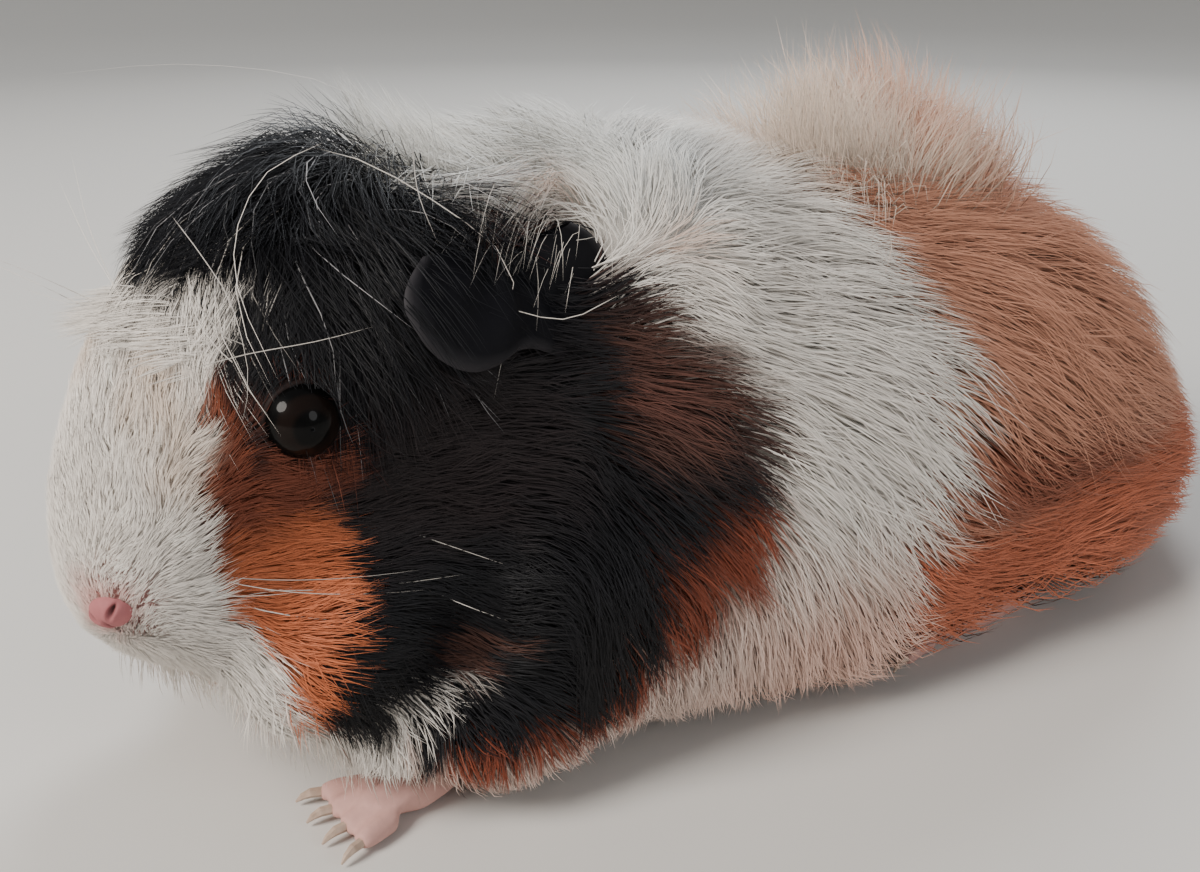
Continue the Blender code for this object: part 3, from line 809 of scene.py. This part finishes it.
def ear(side):
    """A thin, waved flap with a rounded rim, seen from both sides, and a root that runs into the head."""
    angle, radius, off = spline(EAR_RIM, 5).T
    share = np.linspace(0.0, 1.0, EAR_ROWS)[:, None]
    turn = np.radians(angle)[None]
    reach = radius[None] * share
    flat = np.cos(turn)[..., None] * np.array(EAR_BACK) + np.sin(turn)[..., None] * np.array(EAR_DOWN)
    middle = np.array(EAR_ROOT) + flat * reach[..., None]
    middle[..., 0] += off[None] * np.sin(math.pi / 2 * share) - 7 * np.clip(0.35 - share, 0, 1)
    middle[..., 0] += 0.35 * np.sin(turn * 7) * share * (1 - share) * 4
    rows, columns = middle.shape[:2]
    normal = unit(np.cross(np.gradient(middle, axis=0), np.gradient(middle, axis=1)))
    thick = (1.5 - 0.75 * share) * np.sqrt(np.clip(1 - ((share - 0.5) * 2) ** 14, 0, 1)) / 2 + 0.05
    both = np.concatenate((middle + normal * thick[..., None], (middle - normal * thick[..., None])[::-1]))
    both[..., 0] *= side
    # Painted highlight: the tone lightens towards the rim.
    edge = ease(0.86, 1.0, share) * np.ones((1, columns))
    tone = EAR_TONE + (EAR_RIM_HIGHLIGHT - EAR_TONE) * edge[..., None]
    tones = np.concatenate((tone, tone[::-1])).reshape(-1, 3)
    return on_head(both.reshape(-1, 3)), sheet_faces(rows * 2, columns), tones


EYE_AXIS = unit(np.array((0.94, -0.22, 0.24)))
LID_PROFILE = [(73, 4.95), (73.5, 5.15), (76, 5.32), (81, 5.42), (88, 5.6), (98, 6.0), (112, 6.4)]


def eye_frame(side):
    """Centre of an eye, and its axes: out of the head, forwards and up."""
    out = EYE_AXIS * (side, 1, 1)
    fore = unit(np.array((0, -1.0, 0)) - out * -out[1])
    up = np.cross(fore, out) * side
    return np.array(EYE_PLACE) * (side, 1, 1), out, fore, up


def lids(side):
    """Two thin lids that meet at the corners of the eye."""
    centre, out, fore, up = eye_frame(side)
    round_ = np.linspace(0, 2 * math.pi, 72, endpoint=False)
    points = []
    for polar, radius in spline(LID_PROFILE, 3):
        corner = np.abs(np.cos(round_)) ** 6
        fade = np.clip((90 - polar) / 25, 0, 1)
        tilt = np.radians(polar + fade * (4.5 * corner - 3.0 * np.clip(np.sin(round_), 0, 1)))
        radial = np.cos(round_)[:, None] * fore + np.sin(round_)[:, None] * up
        points.append(centre + radius * (np.cos(tilt)[:, None] * out + np.sin(tilt)[:, None] * radial))
    points = np.array(points)
    tones = np.tile(LID_TONE, (points.size // 3, 1))
    return on_head(points.reshape(-1, 3)), sheet_faces(*points.shape[:2], closed=True), tones


NOSE_CENTRE = np.array((3.1, -1.1, 4.6))  # before the muzzle's bend
NOSE_SIZE = (2.9, 2.1, 2.4)
NOSE_TURN = Matrix.Rotation(math.radians(14), 3, "Z") @ Matrix.Rotation(math.radians(-12), 3, "X")
NOSE_GRID = (65, 81)


def nose_pad():
    """The nose's bare pad: two comma-shaped nostrils and the cleft between them, darkened with painted shade.
    """
    rise, across = np.meshgrid(*(np.linspace(-1, 1, count) for count in NOSE_GRID), indexing="ij")
    x, z = across * np.sqrt(1 - rise**2 / 2), rise * np.sqrt(1 - across**2 / 2)
    depth = np.sqrt(np.clip(1 - x**2 - z**2, 0, 1))
    px, pz = x * NOSE_SIZE[0], z * NOSE_SIZE[2]
    slant = 0.62
    tilt = (np.abs(px) - 1.5) * math.cos(slant) + (pz - 1.0) * math.sin(slant)
    over = -(np.abs(px) - 1.5) * math.sin(slant) + (pz - 1.0) * math.cos(slant) + 0.2 * tilt**2
    hole = np.exp(-((tilt / 0.75) ** 2) - (over / 0.36) ** 2)
    rim = np.exp(-((tilt / 1.4) ** 2) - (over / 0.85) ** 2)
    cleft = np.exp(-((px / 0.25) ** 2)) * ease(0.6, -1.0, pz)
    py = -NOSE_SIZE[1] * depth + 1.2 * hole - 0.3 * rim + 0.4 * cleft
    points = NOSE_CENTRE + np.stack((px, py, pz), -1).reshape(-1, 3) @ np.array(NOSE_TURN).T
    # Painted shade: the pink is darkened in the nostrils' pits and along the cleft.
    dark = np.maximum(hole, 0.6 * cleft).reshape(-1, 1)
    tones = NOSE_TONE * (1 - 0.75 * dark)
    return on_head(bent(points)), sheet_faces(*NOSE_GRID), tones


PAW_VOXEL = 0.45


def paw(name):
    """A paw, with the facets of its solid rounded off."""
    points, triangles = node_triangles(name)
    low = points.min(0) - 3
    count = np.ceil((points.max(0) + 3 - low) / PAW_VOXEL).astype(int)
    field = np.zeros(count, np.float32)
    level_set(points, 5, low, PAW_VOXEL, triangles=triangles).copyToArray(field)
    points, quads = surface(blur(field, 2), low, PAW_VOXEL)
    return points, halves(quads), np.tile(PAW_TONE, (len(points), 1))


PAWS = ["paw_front_left", "paw_front_right", "paw_hind_left", "paw_hind_right"]
HIDE = fur_material("hide", 0.6, 0.12)
FUR = fur_material("fur", 0.5, 0.25)
skin_tones = markings(skin_points)
skin_tones *= 0.6 + 0.38 * skin_tones.mean(1, keepdims=True)
near_nose = ease(9, 4, np.linalg.norm(to_head(skin_points) - bent(NOSE_CENTRE), axis=1))[:, None]
skin_tones += (SNOUT_TONE - skin_tones) * near_nose
bare = [(skin_points, halves(skin_quads), skin_tones), nose_pad()]
for side in (1, -1):
    bare += [ear(side), lids(side)]
bare += [paw(name) for name in PAWS]
skin = new_mesh("skin", *joined(bare))
tint(skin, np.concatenate([part[2] for part in bare]))
skin.data.materials.append(HIDE)


def grow(name, roots, segments, length, width, layer, wild=0.16, locks=((14, 0.45),), paint=None, **combing):
    """Combs hairs, drops the kinked ones and adds the rest to the model."""
    swerve = RANDOM.normal(0, wild, len(roots)) + 0.35 * waves(roots, 9.0, 11)
    hairs = comb(roots, segments, length, layer, swerve, **combing)
    good = unkinked(hairs)
    dress(name, roots[good], hairs[good], width[good], locks, paint)


def dress(name, roots, hairs, width, locks=(), paint=None):
    """Clumps and colours hairs, and adds them to the model."""
    for spacing, pull in locks:
        hairs = clump(hairs, roots, spacing, pull * RANDOM.uniform(0.5, 1.3, len(roots)))
    hairs[..., 2] = np.maximum(hairs[..., 2], 0.2)
    segments = hairs.shape[1] - 1
    shown = hairs[:, int(segments * 0.6 + 0.5)]
    colour = (paint or markings)(shown + RANDOM.normal(0, 0.35, roots.shape))
    colour = colour * RANDOM.uniform(0.86, 1.08, (len(roots), 1))
    colour = colour * (1 + 0.07 * waves(roots, 5.0, 21))[:, None]
    add_hair(name, hairs, roots, width, np.clip(colour, 0.004, 0.95))


def clear_of_nose(roots):
    """Which roots lie off the bare pad of the nose."""
    gap = (to_head(roots) - bent(NOSE_CENTRE)) / (np.array(NOSE_SIZE) + (0, 2, 0))
    return np.linalg.norm(gap, axis=1) > 0.3


roots, _ = scatter(coverage)
roots = roots[clear_of_nose(roots)]
numbers = sample(groom, roots)
length = numbers[:, 4] * RANDOM.uniform(0.75, 1.2, len(roots))
width = numbers[:, 5] * RANDOM.uniform(0.8, 1.2, len(roots))
layer = 0.5 + 0.55 * RANDOM.random(len(roots)) ** 0.6
layer = np.where(RANDOM.random(len(roots)) < 0.03, layer * 1.2, layer)
short = length < 8.5
under = ~short & (layer < 0.8)
long = ~under & (length > 24)
over = ~(short | under | long)
for name, own, segments, wider in (("short", short, 2, 1.0), ("under", under, 2, 1.25),
                                   ("over", over, 3, 1.0), ("long", long, 4, 1.0)):
    grow(name, roots[own], segments, length[own], width[own] * wider, layer[own])


def forelock_roots(points):
    """The density of the forelock."""
    x, y, z = to_head(points).T
    return 6.0 * ease(43, 52, y) * ease(88, 80, y) * ease(27, 22, np.abs(x)) * (z > 8)


def forelock_paint(points):
    """Black, with grey and white hairs among the black ones, more of them towards the top."""
    colour = markings(points)
    grey = RANDOM.random(len(points)) < 0.02 + 0.18 * ease(80, 90, points[:, 2])
    pale = np.array((0.50, 0.49, 0.50)) * RANDOM.uniform(0.1, 1.0, (len(points), 1))
    return np.where(grey[:, None], pale, colour)


def forelock_lie(points):
    """The lie of the forelock: forwards in the middle, and down over the brow and the ears at the sides."""
    x = to_head(points)[:, 0]
    share = ease(4, 15, np.abs(x))[:, None]
    side = np.stack((0.35 * np.sign(x), np.full(len(x), -0.45), np.full(len(x), -0.85)), 1)
    return on_head(unit(np.array((0.0, -1.0, 0.1)) * (1 - share) + side * share), True)


roots, count = scatter(forelock_roots)
reach = RANDOM.uniform(34, 54, count) * (1 - 0.45 * ease(5, 18, np.abs(to_head(roots)[:, 0])))
grow("forelock", roots, 6, reach, RANDOM.uniform(0.13, 0.2, count), 0.75 + 0.4 * RANDOM.random(count),
     wild=0.25, locks=((10, 0.35), (90, 0.3)), paint=forelock_paint, rise=2.2, lie=forelock_lie,
     field=over_ears, gradient=over_slope)


def white_paint(points):
    """White hairs, each a little different."""
    return np.array(WHITE) * RANDOM.uniform(0.6, 1.0, (len(points), 1))


def falling(roots, segments, length, bearing, droop, wild, to_body=lambda vectors: vectors):
    """Free hairs whose bearing and droop are given for the left side, and mirrored for the right."""
    mirror = np.stack((np.sign(to_head(roots)[:, 0]), np.ones(len(roots)), np.ones(len(roots))), 1)
    aim = (np.array(bearing) + RANDOM.normal(0, wild, roots.shape)) * mirror
    return strands(roots, segments, length, to_body(aim), to_body(np.array(droop) * mirror))


def fringe_roots(points):
    """The density of the black hair that falls over the ears."""
    x, y, z = to_head(points).T
    across = 3.5 * ease(15, 18, np.abs(x)) * (np.abs(x) < 27)
    return across * ease(48, 53, y) * ease(76, 70, y) * (z > 9)


roots, count = scatter(fringe_roots)
hairs = falling(roots, 6, RANDOM.uniform(15, 25, count), (0.9, -0.25, 0.25), (-0.2, -0.3, -1.7), 0.13,
                lambda vectors: on_head(vectors, True))
dress("fringe", roots, hairs, RANDOM.uniform(0.13, 0.19, count), ((12, 0.35),), forelock_paint)


def crest_roots(points):
    """The density of the white locks that fall forwards from the crest."""
    x, y, z = points.T
    across = 1.2 * ease(8, 12, np.abs(x)) * ease(25, 18, np.abs(x))
    return across * (np.abs(y + 62) < 7) * (z > 72)


roots, count = scatter(crest_roots)
hairs = falling(roots, 6, RANDOM.uniform(9, 25, count), (0.45, -0.65, 0.6), (0.15, -0.35, -1.8), 0.27)
dress("crest", roots, hairs, RANDOM.uniform(0.06, 0.1, count), ((10, 0.15),), white_paint)


def brush_roots(points):
    """The density of the brush of white hair that juts forwards under the forelock."""
    x, y, z = to_head(points).T
    return 5.0 * ease(14, 10, np.abs(x)) * (y > 30) * (y < 36) * (z > 14)


roots, count = scatter(brush_roots)
bearing = on_head(np.array((-0.3, -0.7, 0.7)) + RANDOM.normal(0, 0.18, (count, 3)), True)
hairs = strands(roots, 4, RANDOM.uniform(5, 10, count), bearing, on_head((-0.1, -0.3, 0.0), True))
dress("brush", roots, hairs, RANDOM.uniform(0.14, 0.2, count), ((10, 0.4),), white_paint)


def beard_roots(points):
    """The density of the shaggy edge of the chin and the jaw."""
    x, y, z = to_head(points).T
    clear = points[:, 2] > 8
    return 1.3 * ease(-8, -13, z) * ease(20, 12, y) * ease(30, 26, np.abs(x)) * clear


roots, count = scatter(beard_roots)
bearing = 0.5 * unit(sample(slope, roots)) + np.array((0.0, 0.15, -0.8)) + RANDOM.normal(0, 0.2, (count, 3))
hairs = strands(roots, 4, RANDOM.uniform(5, 9.5, count), bearing, np.array((0.0, 0.3, -0.2)))
dress("beard", roots, hairs, RANDOM.uniform(0.14, 0.2, count), ((10, 0.4),))


def tuft_roots(points):
    """The density of the tuft on the hips."""
    x, y, z = points.T
    along = 2.4 * ease(-6, 4, y) * ease(38, 28, y)
    return along * ease(19, 11, np.abs(x - 3)) * (z > 60)


TUFT_TOP = 109.0  # no hair of the tuft rises above this


def tuft_paint(points):
    """Cream in front, and pinkish orange behind."""
    share = ease(6, 34, points[:, 1] + 8 * waves(points, 14.0, 31))[:, None]
    return np.array(CREAM) * (1 - share) + np.array((0.70, 0.42, 0.30)) * share


roots, count = scatter(tuft_roots)
fan = np.stack(((roots[:, 0] - 3) * 0.03, (roots[:, 1] - 24) * 0.035, np.ones(count)), 1)
bearing = unit(fan + RANDOM.normal(0, 0.3, (count, 3)))
reach = np.minimum(RANDOM.uniform(16, 36, count), (TUFT_TOP - roots[:, 2]) / np.maximum(bearing[:, 2], 0.3))
hairs = strands(roots, 4, reach, bearing, RANDOM.normal((0.0, 0.1, -0.25), 0.35, (count, 3)))
dress("tuft", roots, hairs, RANDOM.uniform(0.14, 0.22, count), ((12, 0.5), (60, 0.5)), tuft_paint)


# Whiskers, and the long white hairs that stand clear of the coat.
WHISKERS = [
    ("pad", (12.0, 6.0, 1.0), (2.6, 3.4, 4.0), (0.55, 0.3, -0.75), (0.1, 0.8, -0.5), 15, (16, 34)),
    ("brow", (15.0, 33.0, 18.0), (1.5, 2.0, 1.0), (0.4, -0.25, 0.9), (0.2, 0.2, -0.5), 3, (12, 22)),
    ("chin", (8.0, 3.0, -18.0), (9.0, 5.0, 1.5), (0.2, 0.05, -0.95), (0.2, 0.35, -0.1), 13, (11, 21)),
    ("cheek", (25.0, 24.0, -10.0), (1.0, 3.0, 2.0), (0.8, 0.2, -0.5), (0.0, 0.5, -0.7), 2, (14, 22)),
]


def whiskers():
    """Roots and points of the whiskers, both sides."""
    roots, hairs = [], []
    for _, middle, spread, bearing, droop, count, (low, high) in WHISKERS:
        for side in (1, -1):
            mirror = np.array((side, 1, 1))
            places = on_head((np.array(middle) + RANDOM.uniform(-1, 1, (count, 3)) * spread) * mirror)
            for _ in range(6):
                gap = sample(skin_field, places)[:, None]
                places -= unit(sample(slope, places)) * gap
            aim = on_head((np.array(bearing) + RANDOM.normal(0, 0.12, (count, 3))) * mirror, True)
            bend = on_head((np.array(droop) + RANDOM.normal(0, 0.15, (count, 3))) * mirror, True)
            roots.append(places)
            hairs.append(strands(places, 9, RANDOM.uniform(low, high, count), aim, bend))
    return np.concatenate(roots), np.concatenate(hairs)


STRAYS = [
    [(5.0, -72.0, 86.0), (-1.5, -83.4, 95.0), (-12.4, -99.0, 97.5), (-23.3, -114.5, 96.0)],
    [(6.6, -108.5, 81.8), (14.2, -107.8, 78.3), (19.4, -106.6, 73.4), (22.7, -106.6, 65.6),
     (23.5, -108.3, 59.9)],
    [(13.7, -91.1, 89.9), (12.5, -98.2, 86.8), (15.1, -103.5, 81.1), (19.3, -105.5, 74.4),
     (23.7, -103.5, 64.7)],
    [(13.8, -92.2, 89.3), (18.9, -85.4, 86.4), (23.8, -72.2, 75.2), (26.7, -73.7, 67.0), (29.0, -77.4, 58.1)],
    [(30.4, -58.5, 69.4), (29.0, -67.2, 67.1), (24.6, -77.3, 71.1), (23.7, -75.9, 72.0), (25.0, -75.0, 70.2)],
    [(19.2, -113.2, 66.3), (22.1, -106.3, 67.9), (23.9, -98.3, 68.5), (24.7, -91.0, 69.3)],
    [(17.2, -81.0, 89.4), (20.9, -82.4, 83.9), (22.4, -80.8, 77.6)],
    [(20.4, -66.2, 76.9), (22.5, -60.4, 75.4), (26.1, -56.5, 76.8)],
    [(2.4, -114.5, 70.0), (1.8, -117.0, 80.0), (2.6, -118.0, 90.0)],
    [(5.4, -114.5, 70.0), (4.6, -118.0, 79.0), (3.2, -120.0, 87.0)],
]
STRAY_RISE = np.array((0.855, -0.615, 1.065))  # towards the camera, so that the coat hides none of them


def strays():
    """The long single hairs, each as points evenly spaced along a smooth curve."""
    hairs = []
    for path in STRAYS:
        curve = spline(path, 8) + STRAY_RISE
        along = np.concatenate(([0], np.cumsum(np.linalg.norm(np.diff(curve, axis=0), axis=1))))
        stops = np.linspace(0, along[-1], 10)
        hairs.append(np.stack([np.interp(stops, along, curve[:, axis]) for axis in range(3)], 1))
    hairs = np.array(hairs)
    return hairs[:, 0], hairs


for name, (roots, hairs) in (("whisker", whiskers()), ("stray", strays())):
    dress(name, roots, hairs, RANDOM.uniform(0.1, 0.15, len(roots)), paint=white_paint)

for name in HAIRY + PAWS + ["ear_left", "ear_right"]:
    if not name.startswith("eye"):
        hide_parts(name)
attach(skin, "root")


EYE_GRID = (49, 64)
IRIS_TONE = np.array((0.006, 0.003, 0.002))
WET = fur_material("eye_gloss", 0.35, 0.02, 0.03)
gloss = WET.node_tree.nodes["Principled BSDF"].inputs
gloss["Coat Weight"].default_value = 0.4
gloss["Coat Roughness"].default_value = 0.01
gloss["Coat IOR"].default_value = 1.3


def eyeball(side, name):
    """An eye with a slightly raised cornea, a dark brown iris and a wide pupil."""
    centre, out, fore, up = eye_frame(side)
    polar = np.linspace(0, math.pi, EYE_GRID[0])[:, None, None]
    round_ = np.linspace(0, 2 * math.pi, EYE_GRID[1], endpoint=False)[None, :, None]
    radius = EYE_RADIUS - 0.02 + 0.16 * np.exp(-((polar / 0.55) ** 2))
    radial = np.cos(round_) * fore + np.sin(round_) * up
    points = centre + radius * (np.cos(polar) * out + np.sin(polar) * radial)
    ring = ease(0.42, 0.5, polar) * ease(0.95, 0.8, polar)
    tones = np.broadcast_to(0.002 + ring * IRIS_TONE, points.shape)
    eye = new_mesh(f"eyeball_{name}", on_head(points.reshape(-1, 3)), sheet_faces(*EYE_GRID, closed=True))
    tint(eye, tones.reshape(-1, 3))
    eye.data.materials.append(WET)
    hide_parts(f"eye_{name}")
    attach(eye, "root")


eyeball(1, "left")
eyeball(-1, "right")


def horn_material():
    """Pale claw horn with a fine mottle."""
    material, tree, shader = plain("claw_horn", 0.35)
    ramp = node(tree, "ShaderNodeValToRGB")
    ramp.color_ramp.elements[0].color = (0.30, 0.20, 0.15, 1)
    ramp.color_ramp.elements[1].color = (0.62, 0.48, 0.38, 1)
    tree.links.new(fine_noise(tree, 700), ramp.inputs["Fac"])
    tree.links.new(ramp.outputs["Color"], shader.inputs["Base Color"])
    return material


HORN = horn_material()
for name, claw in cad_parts.items():
    if name.startswith("claw"):
        claw.data.materials.clear()
        claw.data.materials.append(HORN)
        claw.data.polygons.foreach_set("use_smooth", np.ones(len(claw.data.polygons), bool))


# Room.
ROOM = [(1, 0), (500, 0), (1100, 0), (1300, 20), (1500, 80), (1700, 180), (1900, 340), (2100, 580),
        (2250, 900), (2300, 1300)]
ROOM_SIDES = 96


def backdrop():
    """A round floor whose far edge sweeps up into a wall, from rows of distance and height."""
    reach, height = np.array(ROOM, float).T[..., None]
    angle = np.linspace(0, 2 * math.pi, ROOM_SIDES, endpoint=False)[None]
    points = np.stack(np.broadcast_arrays(np.cos(angle) * reach, np.sin(angle) * reach, height), -1)
    triangles = sheet_faces(len(ROOM), ROOM_SIDES, closed=True)[:, ::-1]
    floor = new_mesh("backdrop", points.reshape(-1, 3) - SHIFT, triangles)
    material, _, shader = plain("floor", 0.9)
    shader.inputs["Base Color"].default_value = (0.66, 0.64, 0.61, 1)
    floor.data.materials.append(material)
    floor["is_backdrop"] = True


backdrop()


def lamp(name, place, aim, size, power, colour=(1, 1, 1)):
    """A round lamp that points at its aim. Places are in metres."""
    light = bpy.data.lights.new(name, "AREA")
    light.energy = power
    light.shape = "DISK"
    light.size = size
    light.color = colour
    obj = bpy.data.objects.new(name, light)
    obj.location = place
    obj.rotation_euler = (Vector(aim) - Vector(place)).to_track_quat("-Z", "Y").to_euler()
    bpy.context.scene.collection.objects.link(obj)


lamp("key", (0.0, -0.85, 0.75), (0, 0, 0.04), 0.5, 15, (1.0, 0.94, 0.87))
lamp("fill", (0.95, 0.25, 0.5), (0, 0, 0.04), 0.5, 2.5)
lamp("rim", (-0.5, 0.55, 0.75), (0, 0, 0.06), 0.4, 6, (0.92, 0.96, 1.0))
world = bpy.data.worlds.new("studio")
world.use_nodes = True
sky = world.node_tree.nodes["Background"].inputs
sky["Color"].default_value = (0.8, 0.85, 0.9, 1)
sky["Strength"].default_value = 0.35
bpy.context.scene.world = world

camera = bpy.data.objects.new("camera", bpy.data.cameras.new("camera"))
camera.data.sensor_width = 36
camera.data.lens = 36.96
camera.location = metres((158.8, -151.7, 114.0))
camera.rotation_euler = (math.radians(68), 0, math.radians(55))
bpy.context.scene.collection.objects.link(camera)
bpy.context.scene.camera = camera

[[list(corner) for corner in box] for box in (CAD_BOX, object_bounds())]
